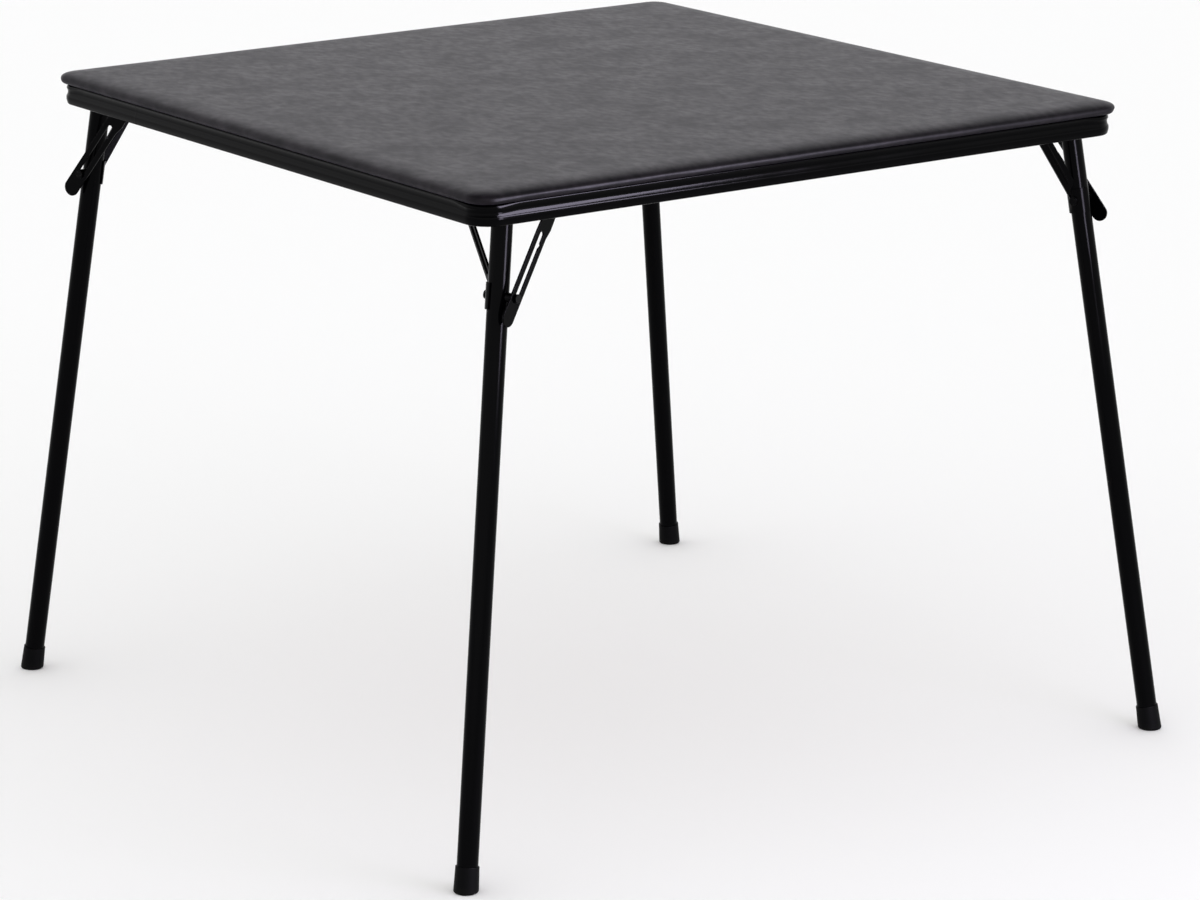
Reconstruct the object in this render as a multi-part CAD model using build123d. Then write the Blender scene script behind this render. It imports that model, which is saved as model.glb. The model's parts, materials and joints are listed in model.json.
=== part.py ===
from build123d import *
import os
from math import cos, hypot, radians, sin

# Square card table whose four legs fold under the top in a pinwheel.
# Millimetres, +Z up, origin on the floor under the middle of the top.
# One corner is modelled, the front left one, and turned by quarter turns.

# overall
side = 851.0              # across the pad
height = 711.2
apron = 36.0              # pad and rail together
overrun = 5.0             # how far a cutting tool runs past what it cuts

# top
pad_overhang = 3.3        # pad past the rail on a side
pad_corner = 25.0         # plan radius of the pad
vinyl = 0.8
board = 3.2
pad_edge = 6.4            # radius of the padded edge, in section
pad_tuck = 4.6            # how far the cover draws in under its edge
pad_tuck_high = 5.6
tuck_share = 0.35         # fullness of the tuck's curve
wrap = 11.0               # cover turned in under the board
soft_gap = 0.3

# rail, roll formed from strip
rail_high = 23.0
rail_wall = 1.2
rail_corner = 28.0
ledge = 25.0              # flange under the board
bow = 2.2                 # hollow in the outer face
lip_round = 3.2
lip_inset = 0.6           # lip inside the lower rim
rim_round = 3.0
rim_high = 6.0            # rolled rim at the bottom
rim_deep = 5.6
screw_shank = 1.8
screw_head = 3.8
screw_head_high = 1.6
screw_head_round = 1.0
screw_slot = 0.9          # cross recess in the head
screw_bite = 2.2          # tip inside the board
screw_play = 0.3
screws_a_side = 3
screw_inset = 6.0         # from the ledge's inner edge
screw_spread = 270.0

# leg
tube = 11.1               # radius
tube_wall = 1.2
pivot_in_x = 51.0         # pivot from the outside of the pad
pivot_in_y = 33.3
pivot_over_rim = 7.8      # pivot above the rail's lower edge
pivot_yaw = 20.5          # pivot axis turned from the side of the table
lean = 9.0                # leg past upright in its folding plane
side_lean = 2.1
tube_top = 7.0            # tube past the pivot
rivet = 3.0               # shank radius
rivet_head = 6.0
rivet_head_high = 2.4
running = 0.05            # radial clearance of a rivet in its hole
plate_gap = 0.3           # between plates that slide or turn on each other

# foot cap
cap_high = 27.0
cap_wall_top = 1.2
cap_wall_low = 2.2
cap_sole = 4.0
cap_round = 2.4

# bracket
sheet = 2.0
ear_gap = 1.4             # between tube and ear, for the tube's side lean when folded
ear_reach = 12.0          # ear past the pivot, to where it steps out to the stay
back_wall = 18.0          # behind the pivot
brace_across = 53.6       # brace ear from the leg's axis
bracket_low = 6.5         # wall below the pivot
bracket_high = 12.2       # wall above the pivot, to the flange
flange_long = 75.0

# slotted stay
stay_wide = 19.0
stay_sheet = 2.0
slot_wide = 6.6
stay_pivot_u = 52.1       # stay pivot from the leg pivot
stay_pivot_drop = 1.0
stay_off = 24.5           # stay's middle plane outside the leg pivot
pin_at = 85.0             # pin along the leg from its pivot
eye = 8.0                 # radius round the stay pivot
tab = 28.0                # finger tab past the slot
head_flare = 4.0          # wider head, on its lower side
flare_run = 12.0
detent_at = 14.5          # catch notch, from the slot's top end
detent = 2.2
collar = 5.0              # pin's shoulder between tube and stay
pin_head = 4.7
pin_head_high = 2.0

# brace
brace_wide = 14.0
brace_sheet = 2.4
brace_yaw = 12.0
brace_low_u = -12.5       # middle of the bar at the height of the pin, from the pivot
brace_low_a = 0.4
brace_up_u = 10.0         # middle of the bar at the height of the pivot
brace_over = 5.0          # bar past the height of the pivot
saddle = 27.0
saddle_wall = 1.8
saddle_gap = 0.1
saddle_arc = 3.0          # saddle's edges from the leg's middle, along the pivot axis
bead = 1.5                # half round rib down the bar
bead_low = 24.0
bead_high = 14.0

# worked out from the above
half = side / 2
rail_half = half - pad_overhang
rail_low = height - apron
rail_top = rail_low + rail_high
board_low = rail_top + vinyl
pivot_high = rail_low + pivot_over_rim
board_half = half - vinyl - pad_tuck
corner_names = ["front_left", "front_right", "rear_right", "rear_left"]

pivot = Vector(-half + pivot_in_x, -half + pivot_in_y, pivot_high)
fold_dir = Vector(cos(radians(pivot_yaw)), sin(radians(pivot_yaw)), 0)
axis_dir = Vector(-sin(radians(pivot_yaw)), cos(radians(pivot_yaw)), 0)
up = Vector(0, 0, 1)
leg_dir = (fold_dir * (-sin(radians(lean)) * cos(radians(side_lean)))
           + axis_dir * (-sin(radians(side_lean)))
           + up * (-cos(radians(lean)) * cos(radians(side_lean))))
foot_run = pivot_high / -leg_dir.Z


def at(u, a, z):
    """Point of the front left corner: along the fold, along the pivot axis, up."""
    return pivot + fold_dir * u + axis_dir * a + up * z


def plane_at(point, normal, x_dir):
    return Plane(origin=point, x_dir=x_dir, z_dir=normal)


def rod(start, end, radius):
    run = end - start
    return plane_at(start, run.normalized(), run.cross(up).normalized()) * Cylinder(
        radius, run.length, align=(Align.CENTER, Align.CENTER, Align.MIN))


def rounded_slab(half_wide, corner, low, high):
    outline = RectangleRounded(2 * half_wide, 2 * half_wide, corner)
    return Pos(0, 0, low) * extrude(outline, high - low)


def write(name, shape):
    export_step(shape, f"parts/{name}.step")


def ring(section, half_wide, corner):
    """Carries a section, drawn with X outwards and Y up, round the rounded square."""
    reach = half_wide - corner
    standing = Plane(origin=(0, reach, 0), x_dir=(1, 0, 0), z_dir=(0, -1, 0))
    straight = extrude(standing * section, 2 * reach)
    bend = Pos(reach, reach, 0) * revolve(
        Plane.XZ * Pos(-reach, 0, 0) * section, Axis.Z, 90)
    whole = None
    for k in range(len(corner_names)):
        turned = Rot(0, 0, 90 * k) * (straight + bend)
        whole = turned if whole is None else whole + turned
    return whole


# rail
def rail_section():
    out = rail_half
    lip = out - lip_inset
    lip_low = rail_top - lip_round
    hollow = lip - bow
    waist = (lip_low + rail_low + rim_high) / 2
    rim_mid = rail_low + rim_round
    inner_low = rail_low + rail_wall
    back = out - rim_deep
    outline = [
        Line((out - ledge, rail_top), (lip - lip_round, rail_top)),
        RadiusArc((lip - lip_round, rail_top), (lip, lip_low), lip_round),
        ThreePointArc((lip, lip_low), (hollow, waist), (lip, rail_low + rim_high)),
        ThreePointArc((lip, rail_low + rim_high), (out, rim_mid), (out - rim_round, rail_low)),
        Line((out - rim_round, rail_low), (back, rail_low)),
        Line((back, rail_low), (back, rail_low + rim_high)),
        Line((back, rail_low + rim_high), (back + rail_wall, rail_low + rim_high)),
        Line((back + rail_wall, rail_low + rim_high), (back + rail_wall, inner_low)),
        Line((back + rail_wall, inner_low), (out - rim_round, inner_low)),
        ThreePointArc((out - rim_round, inner_low), (out - rail_wall, rim_mid),
                      (lip - rail_wall, rail_low + rim_high)),
        ThreePointArc((lip - rail_wall, rail_low + rim_high), (hollow - rail_wall, waist),
                      (lip - rail_wall, lip_low)),
        RadiusArc((lip - rail_wall, lip_low), (lip - lip_round, rail_top - rail_wall),
                  -(lip_round - rail_wall)),
        Line((lip - lip_round, rail_top - rail_wall), (out - ledge, rail_top - rail_wall)),
        Line((out - ledge, rail_top - rail_wall), (out - ledge, rail_top)),
    ]
    return make_face(Wire(outline))


def screw_places():
    across = rail_half - ledge + screw_inset
    steps = [(i - (screws_a_side - 1) / 2) * screw_spread for i in range(screws_a_side)]
    return [Rot(0, 0, 90 * k) * Pos(step, -across, 0)
            for k in range(len(corner_names)) for step in steps]


def make_rail():
    rail = ring(rail_section(), rail_half, rail_corner)
    for place in screw_places():
        rail -= place * Pos(0, 0, rail_top) * Cylinder(screw_shank + screw_play, ledge)
    return rail


def make_screws():
    seat = rail_top - rail_wall
    tip = board_low + screw_bite
    one = Pos(0, 0, seat) * Cylinder(
        screw_shank, tip - seat, align=(Align.CENTER, Align.CENTER, Align.MIN))
    head = Pos(0, 0, seat) * Cylinder(
        screw_head, screw_head_high, align=(Align.CENTER, Align.CENTER, Align.MAX))
    head = fillet(head.edges().group_by(Axis.Z)[0], screw_head_round)
    one += head
    slot = Pos(0, 0, seat - screw_head_high)
    one -= slot * Box(screw_head, screw_slot, screw_head_high)
    one -= slot * Box(screw_slot, screw_head, screw_head_high)
    return Compound(children=[place * one for place in screw_places()])


# top
def pad_section():
    """Half section of the padded edge, from the tuck under the cover to the top."""
    out = half
    foot = out - pad_tuck
    waist = rail_top + pad_tuck_high
    shoulder = height - pad_edge
    return [
        Line((foot, rail_top), (foot + soft_gap, rail_top)),
        ThreePointArc((foot + soft_gap, rail_top), (out - pad_tuck * tuck_share, (rail_top + waist) / 2),
                      (out, max(waist, shoulder))),
        RadiusArc((out, max(waist, shoulder)), (out - pad_edge, height), -pad_edge),
    ]


def make_pad_outer():
    lines = pad_section()
    start = lines[0] @ 0
    end = lines[-1] @ 1
    inner = half - pad_corner
    section = make_face(Wire(lines + [
        Line(end, (inner, height)),
        Line((inner, height), (inner, rail_top)),
        Line((inner, rail_top), start),
    ]))
    return ring(section, half, pad_corner) + rounded_slab(
        half - pad_corner, overrun, rail_top, height)


def make_board():
    slab = rounded_slab(board_half, pad_corner - pad_tuck, board_low, board_low + board)
    for place in screw_places():
        slab -= place * Pos(0, 0, board_low) * Cylinder(screw_shank, 2 * screw_bite)
    return slab


def make_foam():
    slab = rounded_slab(board_half, pad_corner - pad_tuck, board_low + board, height - vinyl)
    return fillet(slab.edges().group_by(Axis.Z)[-1], pad_edge - vinyl - soft_gap)


def make_cover():
    outer = make_pad_outer()
    core = rounded_slab(board_half, pad_corner - pad_tuck, board_low, board_low + board)
    window = rounded_slab(board_half - wrap, pad_corner - pad_tuck,
                          rail_top - overrun, board_low + board)
    return outer - core - make_foam() - window


# leg
def make_leg_tube():
    start = pivot - leg_dir * tube_top
    end = pivot + leg_dir * (foot_run - cap_sole)
    body = rod(start, end, tube)
    body -= rod(start - leg_dir * overrun, end + leg_dir * overrun, tube - tube_wall)
    for along in (0, pin_at):
        middle = pivot + leg_dir * along
        body -= rod(middle - axis_dir * 2 * tube, middle + axis_dir * 2 * tube, rivet + running)
    return body


def make_foot_cap():
    foot = pivot + leg_dir * foot_run
    top = foot - leg_dir * cap_high
    outer = plane_at(top, leg_dir, fold_dir.cross(leg_dir).normalized()) * Cone(
        tube + cap_wall_top, tube + cap_wall_low, cap_high + cap_sole,
        align=(Align.CENTER, Align.CENTER, Align.MIN))
    outer -= Pos(foot.X, foot.Y, 0) * Box(
        side, side, 2 * cap_high, align=(Align.CENTER, Align.CENTER, Align.MAX))
    outer = fillet(outer.edges().group_by(Axis.Z)[0], cap_round)
    return outer - rod(top - leg_dir * overrun, foot - leg_dir * cap_sole, tube)


# folding gear, drawn in the plane of the fold: U along the fold, V up
def plate(outline, nearest, thick):
    """A flat plate square to the pivot axis, from nearest outwards."""
    plane = Plane(origin=at(0, nearest, 0), x_dir=fold_dir, z_dir=-axis_dir)
    return plane * extrude(outline, thick)


def pin_through(u, z, inner, outer, radius):
    return rod(at(u, inner, z), at(u, outer, z), radius)


def span(low_u, high_u, low_z, high_z):
    return Pos((low_u + high_u) / 2, (low_z + high_z) / 2) * Rectangle(
        high_u - low_u, high_z - low_z)


ear_in = -(tube + ear_gap)
stay_in = -(stay_off - stay_sheet / 2)
stay_ear_in = stay_in + plate_gap + sheet
brace_in = brace_across - brace_sheet / 2
brace_ear_in = brace_across + brace_sheet / 2 + plate_gap
pin_mid = leg_dir * pin_at
pin_u = pin_mid.dot(fold_dir)
pin_a = pin_mid.dot(axis_dir)
pin_z = pin_mid.Z
stay_pivot = Vector(stay_pivot_u, -stay_pivot_drop)
stay_run = stay_pivot - Vector(pin_u, pin_z)
stay_dir = stay_run.normalized()
folded_run = (stay_pivot - Vector(hypot(pin_u, pin_z), 0)).length
travel = stay_run.length - folded_run


def make_bracket():
    top = bracket_high
    low = -bracket_low
    step_u = ear_reach
    near_ear = span(-back_wall - sheet, step_u + sheet, low, top)
    stay_ear = span(step_u, stay_pivot_u, low, top)
    stay_ear += Pos(stay_pivot_u, (low + top) / 2) * Circle((top - low) / 2)
    small = span(-back_wall - sheet, 0, low, top) + Pos(0, (low + top) / 2) * Circle((top - low) / 2)
    body = plate(near_ear, ear_in, sheet)
    body += plate(span(step_u, step_u + sheet, low, top), ear_in, ear_in - stay_ear_in + sheet)
    body += plate(stay_ear, stay_ear_in, sheet)
    body += plate(small, -ear_in + sheet, sheet)
    body += plate(small, brace_ear_in + sheet, sheet)
    wall = span(-back_wall - sheet, -back_wall, low, top)
    body += plate(wall, brace_ear_in + sheet, brace_ear_in + 2 * sheet - ear_in)
    body += make_bracket_flange()
    for u, z, inner, outer in (
            (0, 0, brace_ear_in + overrun, ear_in - overrun),
            (stay_pivot_u, -stay_pivot_drop, stay_ear_in + overrun, stay_ear_in - overrun)):
        body -= pin_through(u, z, inner, outer, rivet)
    return body


def make_bracket_flange():
    out = rail_half - lip_inset - lip_round - soft_gap
    low = pivot_high + bracket_high
    slab = Pos(-out, -out, low) * Box(
        flange_long, flange_long, rail_top - rail_wall - low,
        align=(Align.MIN, Align.MIN, Align.MIN))
    corner = slab.edges().filter_by(Axis.Z).sort_by(Axis.X)[:2].sort_by(Axis.Y)[0]
    slab = fillet(corner, rail_corner - lip_inset - lip_round)
    keep_out = Plane(origin=at(-back_wall, 0, 0), x_dir=fold_dir, z_dir=up) * Box(
        side, side, 4 * bracket_high, align=(Align.MIN, Align.CENTER, Align.CENTER))
    return slab - keep_out


def make_leg_pivot():
    inner = -ear_in + sheet
    outer = ear_in - sheet
    body = pin_through(0, 0, inner, outer, rivet)
    body += pin_through(0, 0, inner + rivet_head_high, inner, rivet_head)
    return body + pin_through(0, 0, outer, outer - rivet_head_high, rivet_head)


def make_brace_pivot():
    far = brace_ear_in + sheet
    near = brace_in - plate_gap
    body = pin_through(0, 0, far, near, rivet)
    body += pin_through(0, 0, far + rivet_head_high, far, rivet_head)
    return body + pin_through(0, 0, near, near - rivet_head_high, rivet_head)


def make_stay():
    wide = stay_wide / 2
    length = stay_run.length
    tab_mid = wide - slot_wide / 2 - tab
    flare = length - folded_run
    outline = span(tab_mid, flare, -wide, wide) + Pos(tab_mid, 0) * Circle(wide)
    outline += Pos(length, 0) * Circle(eye)
    outline += make_face(Polyline([
        (flare - flare_run, wide), (flare - flare_run, -wide), (flare, -wide - head_flare),
        (length - eye, -wide - head_flare / 2), (length, -eye), (length, eye), (flare, wide),
    ], close=True))
    slot = Pos(travel / 2, 0) * SlotCenterToCenter(travel, slot_wide)
    slot += Pos(travel + slot_wide / 2 - detent_at, -slot_wide / 2) * Circle(detent)
    outline -= slot
    outline -= Pos(length, 0) * Circle(rivet)
    turned = Plane(origin=at(pin_u, stay_in, pin_z), z_dir=-axis_dir,
                   x_dir=fold_dir * stay_dir.X + up * stay_dir.Y)
    return turned * extrude(outline, stay_sheet)


def make_stay_rivet():
    z = -stay_pivot_drop
    outer = stay_in - stay_sheet
    body = pin_through(stay_pivot_u, z, stay_in, outer, rivet)
    return body + pin_through(stay_pivot_u, z, outer, outer - rivet_head_high, rivet_head)


def make_slide_pin():
    crown = pin_a + tube + saddle_gap + saddle_wall + plate_gap
    outer = stay_in - stay_sheet - plate_gap
    body = pin_through(pin_u, pin_z, crown, outer, rivet)
    body += pin_through(pin_u, pin_z, crown + pin_head_high, crown, pin_head)
    body += pin_through(pin_u, pin_z, pin_a - tube - plate_gap, stay_in + plate_gap, collar)
    return body + pin_through(pin_u, pin_z, outer, outer - pin_head_high, pin_head)


def make_brace():
    low = at(brace_low_u, brace_low_a, pin_z)
    high = at(brace_up_u, brace_across, 0)
    run = (high - low).normalized()
    across = Vector(sin(radians(brace_yaw)), cos(radians(brace_yaw)), 0)
    face = run.cross(across).normalized()
    if face.X > 0:
        face = -face
    length = (high - low).length + brace_over / run.Z
    flat = Plane(origin=low - face * brace_sheet / 2, x_dir=run, z_dir=face)
    bar = flat * extrude(Pos(length / 2, 0) * Rectangle(length, brace_wide), brace_sheet)
    rib = rod(low + run * bead_low + face * brace_sheet / 2,
              high - run * bead_high + face * brace_sheet / 2, bead)
    start = pivot + leg_dir * (pin_at - saddle / 2)
    end = pivot + leg_dir * (pin_at + saddle / 2)
    hug = rod(start, end, tube + saddle_gap + saddle_wall)
    hug -= Plane(origin=at(pin_u, pin_a + saddle_arc, pin_z), x_dir=fold_dir, z_dir=-axis_dir) * Box(
        side, side, side, align=(Align.CENTER, Align.CENTER, Align.MIN))
    ear = span(0, brace_up_u + sheet, -eye, brace_over) + Circle(eye)
    body = bar + rib + hug
    body -= Plane(origin=at(0, brace_across, 0), x_dir=fold_dir, z_dir=axis_dir) * Box(
        side, side, side, align=(Align.CENTER, Align.CENTER, Align.MIN))
    body += plate(ear, brace_in + brace_sheet, brace_sheet)
    body -= rod(pivot - leg_dir * overrun, end + leg_dir * side, tube + saddle_gap)
    body -= pin_through(0, 0, brace_in + 2 * overrun, brace_in - overrun, rivet + running)
    return body - pin_through(pin_u, pin_z, pin_a, pin_a + 2 * tube, rivet + running)


os.makedirs("parts", exist_ok=True)
write("rail_frame", make_rail())
write("panel_screws", make_screws())
write("panel_board", make_board())
write("foam_pad", make_foam())
write("vinyl_cover", make_cover())
one_corner = {
    "corner_bracket": make_bracket(),
    "leg_pivot": make_leg_pivot(),
    "brace_pivot": make_brace_pivot(),
    "leg_tube": make_leg_tube(),
    "leg_brace": make_brace(),
    "foot_cap": make_foot_cap(),
    "slide_pin": make_slide_pin(),
    "slotted_stay": make_stay(),
    "stay_rivet": make_stay_rivet(),
}
for name, shape in one_corner.items():
    for k, corner in enumerate(corner_names):
        write(f"{name}_{corner}", Rot(0, 0, 90 * k) * shape)
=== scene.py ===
# Folding card table: finishes, rolled rail, pressed edges and padded top over the solid frame.
import json
import math

import bmesh
import bpy
import numpy as np
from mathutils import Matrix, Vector

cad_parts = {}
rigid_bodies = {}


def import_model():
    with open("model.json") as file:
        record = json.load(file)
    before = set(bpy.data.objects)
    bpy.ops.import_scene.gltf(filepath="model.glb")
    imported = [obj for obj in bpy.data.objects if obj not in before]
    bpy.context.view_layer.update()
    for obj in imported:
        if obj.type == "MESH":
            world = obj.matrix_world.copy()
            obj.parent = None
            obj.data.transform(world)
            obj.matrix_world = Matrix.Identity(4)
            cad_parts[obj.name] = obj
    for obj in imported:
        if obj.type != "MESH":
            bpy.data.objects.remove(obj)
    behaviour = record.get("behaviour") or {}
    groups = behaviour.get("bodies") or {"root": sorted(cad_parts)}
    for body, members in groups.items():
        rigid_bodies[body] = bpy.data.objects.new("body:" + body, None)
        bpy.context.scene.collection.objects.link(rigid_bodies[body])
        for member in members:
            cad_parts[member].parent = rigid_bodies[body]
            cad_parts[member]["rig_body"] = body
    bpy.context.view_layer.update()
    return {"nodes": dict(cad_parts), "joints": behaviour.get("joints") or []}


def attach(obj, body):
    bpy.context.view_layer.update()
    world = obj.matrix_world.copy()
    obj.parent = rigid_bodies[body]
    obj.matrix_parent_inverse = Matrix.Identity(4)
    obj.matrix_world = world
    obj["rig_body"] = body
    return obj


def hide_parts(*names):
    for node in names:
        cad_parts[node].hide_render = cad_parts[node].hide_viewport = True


print("loading the frame")
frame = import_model()
nodes = frame["nodes"]
mm = 0.001
corners = ["front_left", "front_right", "rear_right", "rear_left"]
topBody = "tabletop"


# finishes: sizes and depths in them are in millimetres

def linear(hexColour):
    # an sRGB hex colour as linear light
    parts = [int(hexColour[i:i + 2], 16) / 255 for i in (1, 3, 5)]
    light = [c / 12.92 if c <= 0.04045 else ((c + 0.055) / 1.055) ** 2.4 for c in parts]
    return (*light, 1.0)


def per(size):
    # a texture's scale for a feature of that many millimetres
    return 1 / (size * mm)


def addNode(tree, kind, inputs=None, **settings):
    # a node, what it is set to, and what its inputs hold or are fed by
    node = tree.nodes.new(kind)
    for name, value in settings.items():
        setattr(node, name, value)
    for name, value in (inputs or {}).items():
        if isinstance(value, bpy.types.NodeSocket):
            tree.links.new(value, node.inputs[name])
        else:
            node.inputs[name].default_value = value
    return node


def noise(tree, place, size, detail, **more):
    inputs = {"Vector": place, "Scale": per(size), "Detail": detail, **more}
    return addNode(tree, "ShaderNodeTexNoise", inputs).outputs["Fac"]


def remap(tree, value, source, target=(0.0, 1.0)):
    # the span from source[0] to source[1] carried to the one from target[0] to target[1]
    return addNode(tree, "ShaderNodeMapRange",
                   {"Value": value, "From Min": source[0], "From Max": source[1],
                    "To Min": target[0], "To Max": target[1]}).outputs[0]


def product(tree, first, second):
    return addNode(tree, "ShaderNodeMath", {0: first, 1: second}, operation="MULTIPLY").outputs[0]


def between(tree, factor, colour, other):
    # one colour fading into another as the factor goes from 0 to 1
    return addNode(tree, "ShaderNodeMix",
                   {"Factor": factor, "A": linear(colour), "B": linear(other)},
                   data_type="RGBA").outputs["Result"]


def relief(tree, height, strength, deep, **more):
    inputs = {"Height": height, "Strength": strength, "Distance": deep * mm, **more}
    return addNode(tree, "ShaderNodeBump", inputs).outputs[0]


def newFinish(name):
    finish = bpy.data.materials.new(name)
    finish.use_nodes = True
    tree = finish.node_tree
    tree.nodes.clear()
    place = addNode(tree, "ShaderNodeTexCoord").outputs["Object"]
    return finish, tree, place


def endFinish(finish, tree, inputs):
    shader = addNode(tree, "ShaderNodeBsdfPrincipled", inputs)
    addNode(tree, "ShaderNodeOutputMaterial", {"Surface": shader.outputs[0]})
    return finish


vinylLook = {
    "colour": "#08070a", "cloud": "#1b171c", "cloudSize": 55, "cloudSpan": (0.15, 0.38),
    "bloom": "#b8a6d6", "bloomWeight": 0.03, "roughness": 0.44, "glossSpread": 0.04, "index": 1.17,
    "creaseSize": 9, "creaseDeep": 0.05, "creaseTurn": 0.6, "creaseStretch": (1.0, 0.6, 1.0),
    "grainSize": 2.2, "grainDeep": 0.10, "grainFlank": 0.25,
}


def calenderedVinyl():
    # PVC film rolled onto cloth with a pressed leather grain: charcoal, satin, a little cloudy.
    # The real grain is about 1 mm, and is drawn coarser to show at this distance.
    look = vinylLook
    finish, tree, place = newFinish("calenderedVinyl")
    cloud = noise(tree, place, look["cloudSize"], 5.0, Roughness=0.62)
    stretched = addNode(tree, "ShaderNodeMapping",
                        {"Vector": place, "Scale": look["creaseStretch"],
                         "Rotation": (0.0, 0.0, look["creaseTurn"])}).outputs[0]
    crease = noise(tree, stretched, look["creaseSize"], 3.0)
    both = product(tree, cloud, crease)
    tint = remap(tree, both, look["cloudSpan"])
    rough, spread = look["roughness"], look["glossSpread"]
    gloss = remap(tree, both, look["cloudSpan"], (rough + spread, rough - spread))
    grain = addNode(tree, "ShaderNodeTexVoronoi",
                    {"Vector": place, "Scale": per(look["grainSize"])}, feature="DISTANCE_TO_EDGE")
    pebble = remap(tree, grain.outputs["Distance"], (0.0, look["grainFlank"]))
    creased = relief(tree, crease, 0.5, look["creaseDeep"])
    return endFinish(finish, tree, {
        "Base Color": between(tree, tint, look["colour"], look["cloud"]), "Roughness": gloss,
        "Normal": relief(tree, pebble, 0.35, look["grainDeep"], Normal=creased),
        "IOR": look["index"],
        "Sheen Weight": look["bloomWeight"], "Sheen Tint": linear(look["bloom"])})


coatLook = {
    "colour": "#020203", "roughness": 0.12, "index": 1.11, "peelSize": 2.6, "peelDeep": 0.012,
    "handledSize": 70, "handledSpan": (0.3, 0.7), "polished": 0.03, "dulled": 0.05,
}


def powderCoat():
    # Black polyester powder baked onto steel: wet-looking gloss with a slight orange peel,
    # a little duller in the patches where it has been handled.
    look = coatLook
    finish, tree, place = newFinish("powderCoat")
    peel = noise(tree, place, look["peelSize"], 2.0)
    handled = noise(tree, place, look["handledSize"], 4.0)
    gloss = remap(tree, handled, look["handledSpan"],
                  (look["roughness"] - look["polished"], look["roughness"] + look["dulled"]))
    return endFinish(finish, tree, {
        "Base Color": linear(look["colour"]), "Roughness": gloss,
        "Normal": relief(tree, peel, 0.25, look["peelDeep"]), "IOR": look["index"]})


rivetLook = {"colour": "#0d0d0e", "rubbed": "#454442", "rubbedSpan": (0.56, 0.8), "rubbedMost": 0.4,
             "roughness": 0.3, "markSize": 1.4}


def blackenedSteel():
    # Headed steel rivets, blackened in an oxide bath: dark metal, rubbed paler in specks.
    look = rivetLook
    finish, tree, place = newFinish("blackenedSteel")
    marks = noise(tree, place, look["markSize"], 3.0)
    rubbed = remap(tree, marks, look["rubbedSpan"], (0.0, look["rubbedMost"]))
    return endFinish(finish, tree, {
        "Base Color": between(tree, rubbed, look["colour"], look["rubbed"]),
        "Metallic": 1.0, "Roughness": look["roughness"]})


zincLook = {"colour": "#b9b8b2", "dull": "#8f8e88", "roughness": 0.36, "spangle": 1.2}


def zincPlate():
    # Bright zinc on screws: pale grey metal, cloudy where it has dulled.
    look = zincLook
    finish, tree, place = newFinish("zincPlate")
    spots = noise(tree, place, look["spangle"], 2.0)
    return endFinish(finish, tree, {
        "Base Color": between(tree, spots, look["colour"], look["dull"]),
        "Metallic": 1.0, "Roughness": look["roughness"]})


boardLook = {"colour": "#4b3220", "fibre": "#6a4a30", "roughness": 0.62, "fibreSize": 5,
             "screenStep": 3.0, "screenDeep": 0.12}


def temperedHardboard():
    # Wood fibre pressed hot and oil tempered: brown, with the mark of the press screen on its back.
    # The screen's wires are about 1.5 mm apart, and are drawn at 3 mm to show.
    look = boardLook
    finish, tree, place = newFinish("temperedHardboard")
    fibres = noise(tree, place, look["fibreSize"], 6.0, Roughness=0.7)
    # a wave texture has 20 waves to its unit, so its scale is a twentieth of the others'
    step = per(look["screenStep"]) / 20
    wires = [addNode(tree, "ShaderNodeTexWave", {"Vector": place, "Scale": step},
                     bands_direction=way).outputs["Fac"] for way in ("X", "Y")]
    return endFinish(finish, tree, {
        "Base Color": between(tree, fibres, look["colour"], look["fibre"]),
        "Roughness": look["roughness"],
        "Normal": relief(tree, product(tree, *wires), 0.5, look["screenDeep"])})


rubberLook = {
    "colour": "#040405", "roughness": 0.5, "index": 1.12, "grainSize": 0.9, "grainDeep": 0.05,
    "dust": "#141312", "dustHigh": 9, "dustMost": 0.8, "scuffSize": 6,
}


def mouldedRubber():
    # Moulded rubber caps: matt black with a fine grain, greyed by the floor at the sole.
    look = rubberLook
    finish, tree, place = newFinish("mouldedRubber")
    high = addNode(tree, "ShaderNodeSeparateXYZ", {0: place}).outputs["Z"]
    fade = remap(tree, high, (0.0, look["dustHigh"] * mm), (look["dustMost"], 0.0))
    dusty = product(tree, fade, noise(tree, place, look["scuffSize"], 5.0))
    grain = noise(tree, place, look["grainSize"], 2.0)
    return endFinish(finish, tree, {
        "Base Color": between(tree, dusty, look["colour"], look["dust"]),
        "Roughness": look["roughness"],
        "Normal": relief(tree, grain, 0.3, look["grainDeep"]), "IOR": look["index"]})


print("mixing the finishes")
vinyl, coat, rivetSteel = calenderedVinyl(), powderCoat(), blackenedSteel()
zinc, hardboard, rubber = zincPlate(), temperedHardboard(), mouldedRubber()
nodeFinish = {"panel_screws": zinc, "panel_board": hardboard, "rail_frame": coat}
for corner in corners:
    for piece in ("corner_bracket", "leg_tube", "leg_brace", "slotted_stay"):
        nodeFinish[f"{piece}_{corner}"] = coat
    for piece in ("leg_pivot", "brace_pivot", "slide_pin", "stay_rivet"):
        nodeFinish[f"{piece}_{corner}"] = rivetSteel
    nodeFinish[f"foot_cap_{corner}"] = rubber
for name, finish in nodeFinish.items():
    nodes[name].data.materials.clear()
    nodes[name].data.materials.append(finish)


# surfaces: all their sizes are in millimetres

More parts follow.
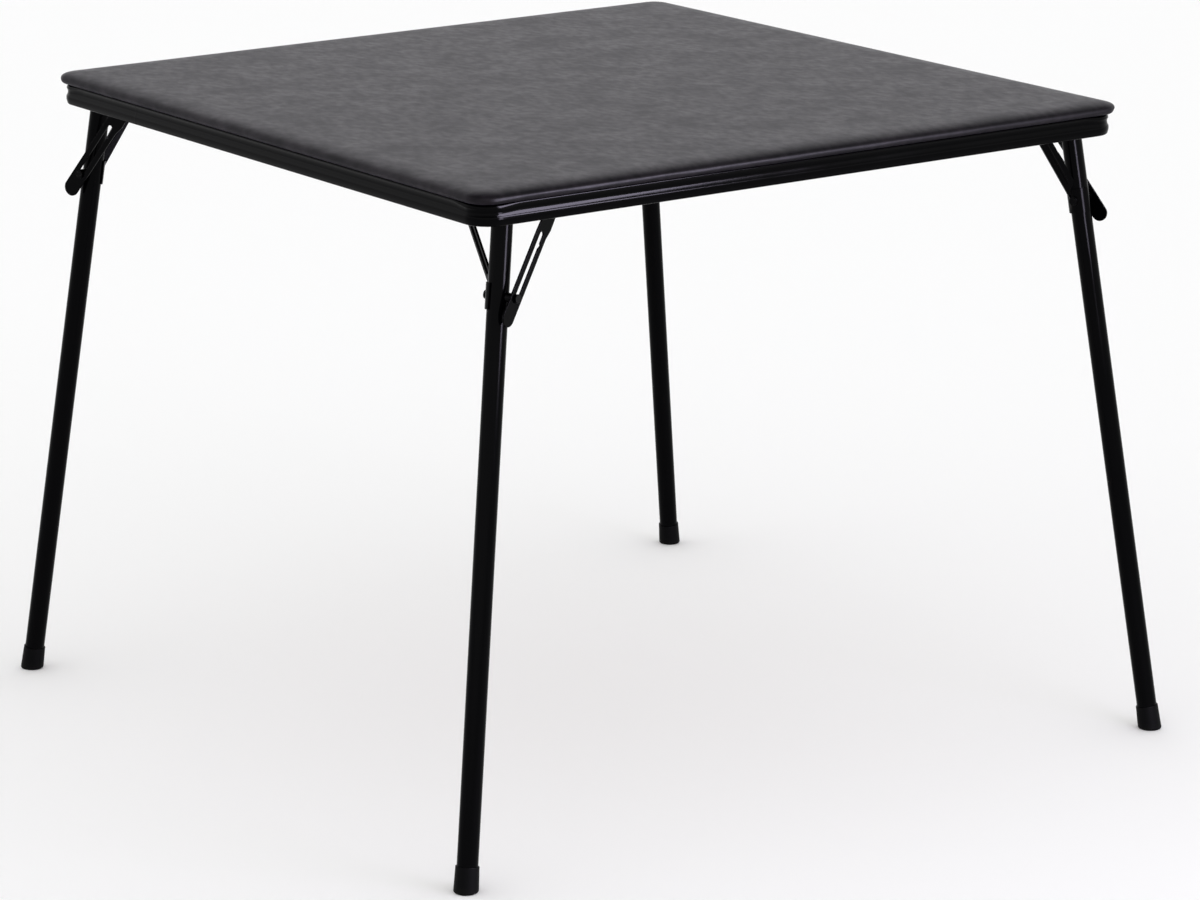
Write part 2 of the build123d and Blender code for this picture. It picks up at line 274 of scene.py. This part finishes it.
def roundedSquare(halfWide, corner, straightSteps, arcSteps):
    # Points round a square with round corners, counter-clockwise from the middle of the +X side:
    # up the half side, round the arc centred (half - corner) both ways, along to the next middle,
    # and the same turned by 90, 180 and 270 degrees. halfWide and corner hold one value a ring.
    half = np.asarray(halfWide, float).reshape(-1, 1)
    bend = np.minimum(np.asarray(corner, float).reshape(-1, 1), half)
    rise = np.linspace(0, 1, straightSteps, endpoint=False) * (half - bend)
    turn = np.linspace(0, math.pi / 2, arcSteps + 1)
    x = np.hstack([half + 0 * rise, half - bend + bend * np.cos(turn), (half - bend) - rise[:, 1:]])
    y = np.hstack([rise, half - bend + bend * np.sin(turn), half + 0 * rise[:, 1:]])
    quarters = [(x, y), (-y, x), (-x, -y), (y, -x)]
    return np.hstack([q[0] for q in quarters]), np.hstack([q[1] for q in quarters])


def ringFaces(rows, columns, closed=False):
    # quads between neighbouring rings of equal length, each ring joined end to end
    low = np.arange(rows if closed else rows - 1)[:, None] * columns + np.arange(columns)[None, :]
    nextColumn = low - np.arange(columns) + (np.arange(columns) + 1) % columns
    size = rows * columns
    quads = [low, nextColumn, (nextColumn + columns) % size, (low + columns) % size]
    return np.stack(quads, -1).reshape(-1, 4)


def addPiece(name, points, faces, finish, body):
    mesh = bpy.data.meshes.new(name)
    mesh.from_pydata(points.reshape(-1, 3), [], faces)
    mesh.update()
    mesh.polygons.foreach_set("use_smooth", np.ones(len(mesh.polygons), bool))
    mesh.materials.append(finish)
    piece = bpy.data.objects.new(name, mesh)
    bpy.context.scene.collection.objects.link(piece)
    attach(piece, body)
    return piece


topSizes = {
    "half": 425.5, "corner": 25.0, "cornerLeast": 6.0, "top": 711.2, "bottom": 698.2,
    "shoulder": 34.0, "shoulderHigh": 7.6, "shoulderPower": 2.6,    # soft roll from flat to edge
    "tuck": 4.6, "vinyl": 0.8, "wrap": 11.0,                        # the film under the edge
    "board": 3.2, "boardIn": 5.4,                                   # the board it wraps round
    "ripple": 0.10, "rippleLong": (190, 260), "rippleSlant": (0.6, 0.3),
    "rippleEdge": 12, "rippleFade": 60, "pucker": 0.35, "puckerTurns": (37, 11, 83),
    "hub": 0.03, "fieldSteps": 30, "shoulderSteps": 40, "tuckSteps": 12,
    "sideSteps": 24, "cornerSteps": 16,
}


def paddedTop():
    # One closed skin, as rings of rounded squares. Across the edge it follows a superellipse,
    # |x/shoulder|^p + |z/high|^p = 1, above its widest line, and a quarter ellipse below it
    # down to the tuck. Under the foam it turns in beneath the board, then goes up and round the
    # board's edge to close over its top.
    size = topSizes
    wide, middle = size["half"] - size["shoulder"], size["top"] - size["shoulderHigh"]
    angle = np.linspace(math.pi / 2, 0, size["shoulderSteps"])
    power = 2 / size["shoulderPower"]
    field = np.linspace(size["hub"], 1, size["fieldSteps"], endpoint=False) * wide
    shoulderX = wide + size["shoulder"] * np.cos(angle).clip(0) ** power
    shoulderZ = middle + size["shoulderHigh"] * np.sin(angle) ** power
    under = np.linspace(0, math.pi / 2, size["tuckSteps"])[1:]
    underX = size["half"] - size["tuck"] * (1 - np.cos(under))
    underZ = middle - (middle - size["bottom"]) * np.sin(under)
    boardHalf = size["half"] - size["boardIn"]
    boardLow = size["bottom"] + size["vinyl"]
    boardHigh = size["bottom"] + size["vinyl"] + size["board"]
    inner = [(boardHalf - size["wrap"], size["bottom"]), (boardHalf - size["wrap"], boardLow),
             (boardHalf, boardLow), (boardHalf, boardHigh), (boardHalf / 2, boardHigh),
             (wide * size["hub"], boardHigh)]
    half = np.concatenate([field, shoulderX, underX, [p[0] for p in inner]])
    high = np.concatenate([size["top"] + 0 * field, shoulderZ, underZ, [p[1] for p in inner]])
    bend = np.maximum(size["corner"] - (size["half"] - half), size["cornerLeast"])
    x, y = roundedSquare(half, bend, size["sideSteps"], size["cornerSteps"])
    # the foam under the film is never dead flat: two crossed waves, fading out at the edge
    (longX, longY), (slantX, slantY) = size["rippleLong"], size["rippleSlant"]
    wave = (np.sin((x + slantX * y) * 2 * math.pi / longX)
            * np.sin((y - slantY * x) * 2 * math.pi / longY))
    inside = size["half"] - np.maximum(abs(x), abs(y))
    fade = np.clip((inside - size["rippleEdge"]) / size["rippleFade"], 0, 1)
    upper = (np.arange(len(half)) < len(field) + len(shoulderX) / 2)[:, None]
    z = high[:, None] + size["ripple"] * wave * fade * upper
    # the film puckers a little where it is drawn under: its fullness comes and goes along the edge
    along = np.arctan2(y, x)
    many, few, most = size["puckerTurns"]
    pull = size["pucker"] * (np.sin(many * along) * np.sin(few * along + 1)
                             + 0.5 * np.sin(most * along))
    tucked = np.clip((middle - high) / (middle - size["bottom"]), 0, 1) * (half > boardHalf)
    draw = 1 + (tucked * (1 - tucked) * 4)[:, None] * pull / size["half"]
    points = np.stack([x * draw, y * draw, z + 0 * x], -1) * mm
    rows, columns = x.shape
    faces = ringFaces(rows, columns)[:, ::-1].tolist()
    # a fan of triangles closes the first ring at the top and the last one over the board
    hubs = np.array([[0, 0, size["top"]], [0, 0, boardHigh]]) * mm
    last, count = (rows - 1) * columns, rows * columns
    faces += [(count, i, (i + 1) % columns) for i in range(columns)]
    faces += [(count + 1, last + (i + 1) % columns, last + i) for i in range(columns)]
    points = np.vstack([points.reshape(-1, 3), hubs])
    return addPiece("paddedTop", points, faces, vinyl, topBody)


# names in -In are distances inside the widest line, and names in -At are heights
railSizes = {
    "half": 422.2, "corner": 28.0, "bendLeast": 2.0,
    "low": 675.2, "high": 23.0, "wall": 1.2, "ledge": 25.0,
    "lipRound": 2.0, "lipRoundCorner": 5.0, "lipIn": 0.7,
    "hollowAt": 690.4, "hollowIn": 2.4, "hollowInCorner": 1.8, "fadeLong": 20.0,
    "turnAt": 684.8, "turnIn": 0.3, "rimAt": 682.0, "footAt": 677.2, "footIn": 0.9,
    "kneeShare": 0.26, "rollIn": 3.4, "rimDeep": 5.6, "rimHigh": 6.0, "rimEase": 0.4,
    "sideSteps": 40, "cornerSteps": 24,
    "weldAlong": 250.0, "weldWide": 2.6, "weldProud": 0.12, "weldSunk": 0.03, "weldSteps": 9,
    "weldShown": (3, 47),       # the section's points on the face, from the lip to the foot
}


def arcThrough(a, b, c, steps):
    # points along the circle through a, b and c, from a to c, by the angles seen from its centre
    a, b, c = (np.array(p, float) for p in (a, b, c))
    rows = 2 * np.array([b - a, c - a])
    middle = np.linalg.solve(rows, [b @ b - a @ a, c @ c - a @ a])
    seen = np.unwrap([math.atan2(*(p - middle)[::-1]) for p in (a, b, c)])
    turn = np.linspace(seen[0], seen[2], steps)
    return middle + np.hypot(*(a - middle)) * np.stack([np.cos(turn), np.sin(turn)], -1)


def railProfile(lipRound, hollowIn):
    # The strip's section, out from the rail's widest line and up: the face runs from the ledge
    # round the lip, down the hollow to a sharp bend, down the rim's convex face, round its foot
    # and up inside it, and the back follows it a wall's thickness behind. Each arc's last value
    # is its number of points.
    size = railSizes
    low, top, wall = size["low"], size["low"] + size["high"], size["wall"]
    lip, bend, back = -size["lipIn"], lipRound, -size["rimDeep"]
    corner = bend * (1 - math.sqrt(0.5))
    hollow, turn = (-hollowIn, size["hollowAt"]), (-size["turnIn"], size["turnAt"])
    foot, roll = (-size["footIn"], size["footAt"]), (-size["rollIn"], low)
    knee = (foot[0] - (foot[0] - roll[0]) * size["kneeShare"],
            low + (foot[1] - low) * size["kneeShare"])
    rimTop, ease = low + size["rimHigh"], size["rimEase"]
    lipTop, lipMid, lipOut = (lip - bend, top), (lip - corner, top - corner), (lip, top - bend)
    innerHollow, innerTurn = (hollow[0] - wall, hollow[1]), (turn[0] - wall, turn[1])
    innerOut, innerMid = (lip - wall, top - bend), (lip - wall - corner, top - wall - corner)
    face = [
        [(-size["ledge"], top)],
        arcThrough(lipTop, lipMid, lipOut, 9),
        arcThrough(lipOut, hollow, turn, 22)[1:],
        arcThrough(turn, (0, size["rimAt"]), foot, 12)[1:],
        arcThrough(foot, knee, roll, 8)[1:],
        [(back + ease, low), (back, low + ease), (back, rimTop), (back + wall, rimTop),
         (back + wall, low + wall)],
        arcThrough((roll[0], low + wall), (-wall, size["rimAt"]), innerTurn, 14),
        arcThrough(innerTurn, innerHollow, innerOut, 16)[1:],
        arcThrough(innerOut, innerMid, (lip - bend, top - wall), 7)[1:],
        [(-size["ledge"], top - wall)],
    ]
    return np.vstack([np.atleast_2d(part) for part in face])


def rolledRail():
    # The section carried round the rounded square: each of its points is one ring. Bending the
    # strip flattens its hollow and eases its lip, so towards each corner the straight section
    # fades into the corner's by a smooth step, t^2 (3 - 2t).
    size = railSizes
    rings = []
    for lipRound, hollowIn in ((size["lipRound"], size["hollowIn"]),
                               (size["lipRoundCorner"], size["hollowInCorner"])):
        profile = railProfile(lipRound, hollowIn)
        half = size["half"] + profile[:, 0]
        bend = np.maximum(size["corner"] + profile[:, 0], size["bendLeast"])
        x, y = roundedSquare(half, bend, size["sideSteps"], size["cornerSteps"])
        rings.append(np.stack([x, y, profile[:, 1:2] + 0 * x], -1))
    lesser = np.minimum(abs(rings[0][..., 0]), abs(rings[0][..., 1]))
    start = size["half"] - size["corner"] - size["fadeLong"]
    near = np.clip((lesser - start) / size["fadeLong"], 0, 1)[..., None]
    blend = near * near * (3 - 2 * near)
    points = (1 - blend) * rings[0] + blend * rings[1]
    rows, columns, _ = points.shape
    faces = ringFaces(rows, columns, closed=True).tolist()
    return addPiece("rolledRail", points * mm, faces, coat, topBody)


def railWeld():
    # The butt weld where the strip's ends meet, on the left side: a low bead over the face,
    # half a cosine across and as long as the face's own section.
    size = railSizes
    profile = railProfile(size["lipRound"], size["hollowIn"])[slice(*size["weldShown"])]
    across = np.linspace(-1, 1, size["weldSteps"])
    lift = size["weldProud"] * np.cos(across * math.pi / 2) - size["weldSunk"]
    way = np.gradient(profile, axis=0)
    outward = np.stack([-way[:, 1], way[:, 0]], -1) / np.hypot(*way.T)[:, None]
    section = profile[:, None, :] + outward[:, None, :] * lift[None, :, None]
    x = -(size["half"] + section[..., 0])
    y = size["weldAlong"] + size["weldWide"] / 2 * across[None, :] + 0 * x
    points = np.stack([x, y, section[..., 1]], -1) * mm
    rows, columns = x.shape
    base = (np.arange(rows - 1)[:, None] * columns + np.arange(columns - 1)[None, :]).ravel()
    faces = np.stack([base, base + columns, base + columns + 1, base + 1], -1).tolist()
    return addPiece("railWeld", points, faces, coat, topBody)


print("rolling the rail")
rail = rolledRail()
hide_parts("rail_frame")
railWeld()


# places are measured from the pin, along the stay and across it
stayHead = {"fromPin": (55.0, 80.0), "edge": 9.0, "shift": 11.3, "widest": 12.0}


def trimHead(shape, corner):
    # The stay's head widens on its lower side only past the slot's end: the corners of its
    # outline there go up the edge and in.
    joints = {joint["name"]: joint for joint in frame["joints"]}
    pin = Vector(joints[f"pin_turn_{corner}"]["pos_m"])
    along = -Vector(joints[f"stay_slide_{corner}"]["axis"])
    across = Vector(joints[f"pin_turn_{corner}"]["axis"]).cross(along).normalized()
    if across.z > 0:
        across.negate()
    low, high = stayHead["fromPin"]
    for vertex in shape.verts:
        run, wide = (vertex.co - pin).dot(along) / mm, (vertex.co - pin).dot(across) / mm
        if low < run < high and wide > stayHead["edge"]:
            inward = min(stayHead["widest"] - wide, 0)
            vertex.co += (along * stayHead["shift"] + across * inward) * mm


# the radius of each pressing's edges, and the angles under which faces are one flat and past which
# they meet in an edge
pressedEdges = {"corner_bracket": 0.35, "leg_brace": 0.4, "slotted_stay": 0.45, "foot_cap": 0.5}
edgeRules = {"touching": 1e-6, "flat": math.radians(1.0), "sharp": math.radians(35), "segments": 2}


def breakEdges(part, corner, radius):
    # a copy of a solid with its edges rounded over, so that they catch the light
    node = f"{part}_{corner}"
    source = nodes[node]
    shape = bmesh.new()
    shape.from_mesh(source.data)
    bmesh.ops.remove_doubles(shape, verts=shape.verts, dist=edgeRules["touching"])
    bmesh.ops.dissolve_limit(shape, angle_limit=edgeRules["flat"],
                             verts=shape.verts, edges=shape.edges)
    if part == "slotted_stay":
        trimHead(shape, corner)
    mesh = bpy.data.meshes.new(node + "_pressed")
    shape.to_mesh(mesh)
    shape.free()
    mesh.polygons.foreach_set("use_smooth", np.ones(len(mesh.polygons), bool))
    mesh.set_sharp_from_angle(angle=edgeRules["sharp"])
    mesh.materials.append(nodeFinish[node])
    piece = bpy.data.objects.new(node + "_pressed", mesh)
    bpy.context.scene.collection.objects.link(piece)
    edge = piece.modifiers.new("edge", "BEVEL")
    edge.width, edge.segments = radius * mm, edgeRules["segments"]
    edge.angle_limit = edgeRules["sharp"]
    edge.use_clamp_overlap = True
    flats = piece.modifiers.new("flats", "WEIGHTED_NORMAL")
    flats.keep_sharp = False
    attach(piece, source["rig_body"])
    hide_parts(node)


print("breaking the edges of the pressings")
for part, radius in pressedEdges.items():
    for corner in corners:
        breakEdges(part, corner, radius)

print("stretching the cover")
cover = paddedTop()
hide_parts("vinyl_cover", "foam_pad")


# floor, light and camera, in metres

studio = {
    "floor": "#fbfbfb", "floorWide": 40.0, "floorRoughness": 0.9,
    "wall": 1.5, "ceiling": 0.3, "wallTop": 0.42, "ceilingStart": 0.77,     # sines of the elevation
    "skyWatts": 0.85, "skyAngle": 110, "boxColour": "#ece4ff",
    "lens": 139.76, "sensor": 36.0, "sight": 100, "target": (-0.2160, -0.3387, 0.4),
    "azimuth": -35.87, "elevation": 14.92, "distance": 4.8548,
}
# Each box: its place, what it faces, its width and height, its watts, and whether it lights the
# cover alone or all but the cover. The cover's own box stands below its flat, so that the film
# shines along its edge alone.
boxes = {
    "sideBox": ((0.47, -1.9, 1.5), (-0.4, -0.42, 0.65), (0.9, 1.1), 225, "EXCLUDE"),
    "stripBox": ((0.15, -1.75, 0.62), (-0.38, -0.4, 0.55), (0.42, 0.3), 17, "EXCLUDE"),
    "crestBox": ((0.42, -1.9, 0.45), (-0.4, -0.42, 0.7), (1.0, 0.44), 110, "INCLUDE"),
}


def paleFloor():
    # a plain pale sheet, which takes the table's shadow
    wide = studio["floorWide"] / 2
    mesh = bpy.data.meshes.new("floor")
    mesh.from_pydata([(-wide, -wide, 0), (wide, -wide, 0), (wide, wide, 0), (-wide, wide, 0)],
                     [], [(0, 1, 2, 3)])
    floor = bpy.data.objects.new("floor", mesh)
    bpy.context.scene.collection.objects.link(floor)
    finish, tree, _ = newFinish("paperFloor")
    mesh.materials.append(endFinish(finish, tree, {
        "Base Color": linear(studio["floor"]), "Roughness": studio["floorRoughness"]}))


def whiteRoom():
    # white walls all round, which the top mirrors at a low angle, under a dimmer ceiling
    world = bpy.data.worlds.new("studio")
    bpy.context.scene.world = world
    world.use_nodes = True
    tree = world.node_tree
    place = addNode(tree, "ShaderNodeTexCoord").outputs["Generated"]
    high = addNode(tree, "ShaderNodeSeparateXYZ", {0: place}).outputs["Z"]
    bright = remap(tree, high, (studio["wallTop"], studio["ceilingStart"]),
                   (studio["wall"], studio["ceiling"]))
    tree.links.new(bright, tree.nodes["Background"].inputs["Strength"])
    tree.nodes["Background"].inputs["Color"].default_value = (1, 1, 1, 1)


def skyLight():
    # soft light from above for the matt surfaces, as a sun as wide as most of the sky
    lamp = bpy.data.lights.new("skyLight", "SUN")
    lamp.energy, lamp.angle = studio["skyWatts"], math.radians(studio["skyAngle"])
    sky = bpy.data.objects.new("skyLight", lamp)
    bpy.context.scene.collection.objects.link(sky)
    sky.visible_camera = sky.visible_glossy = False


def softBox(name, place, aim, size, watts, linked):
    # a box that shines only in the gloss: the sky and the walls give the rest
    lamp = bpy.data.lights.new(name, "AREA")
    lamp.shape, lamp.size, lamp.size_y, lamp.energy = "RECTANGLE", size[0], size[1], watts
    lamp.color = linear(studio["boxColour"])[:3]
    box = bpy.data.objects.new(name, lamp)
    bpy.context.scene.collection.objects.link(box)
    box.location = place
    box.rotation_euler = (Vector(aim) - Vector(place)).to_track_quat("-Z", "Y").to_euler()
    box.visible_camera = box.visible_diffuse = False
    lit = bpy.data.collections.new(name + "Lit")
    lit.objects.link(cover)
    lit.collection_objects[0].light_linking.link_state = linked
    box.light_linking.receiver_collection = lit


def setCamera():
    # azimuth from -Y towards +X and elevation up, as seen from the target
    lens = bpy.data.cameras.new("camera")
    lens.lens, lens.sensor_width, lens.clip_end = studio["lens"], studio["sensor"], studio["sight"]
    camera = bpy.data.objects.new("camera", lens)
    bpy.context.scene.collection.objects.link(camera)
    a, e = math.radians(studio["azimuth"]), math.radians(studio["elevation"])
    back = Vector((math.sin(a) * math.cos(e), -math.cos(a) * math.cos(e), math.sin(e)))
    camera.location = Vector(studio["target"]) + back * studio["distance"]
    camera.rotation_euler = (-back).to_track_quat("-Z", "Y").to_euler()
    bpy.context.scene.camera = camera


print("setting the studio")
paleFloor()
whiteRoom()
skyLight()
for name, box in boxes.items():
    softBox(name, *box)
setCamera()
bpy.context.scene.view_settings.view_transform = "Standard"

print("done")
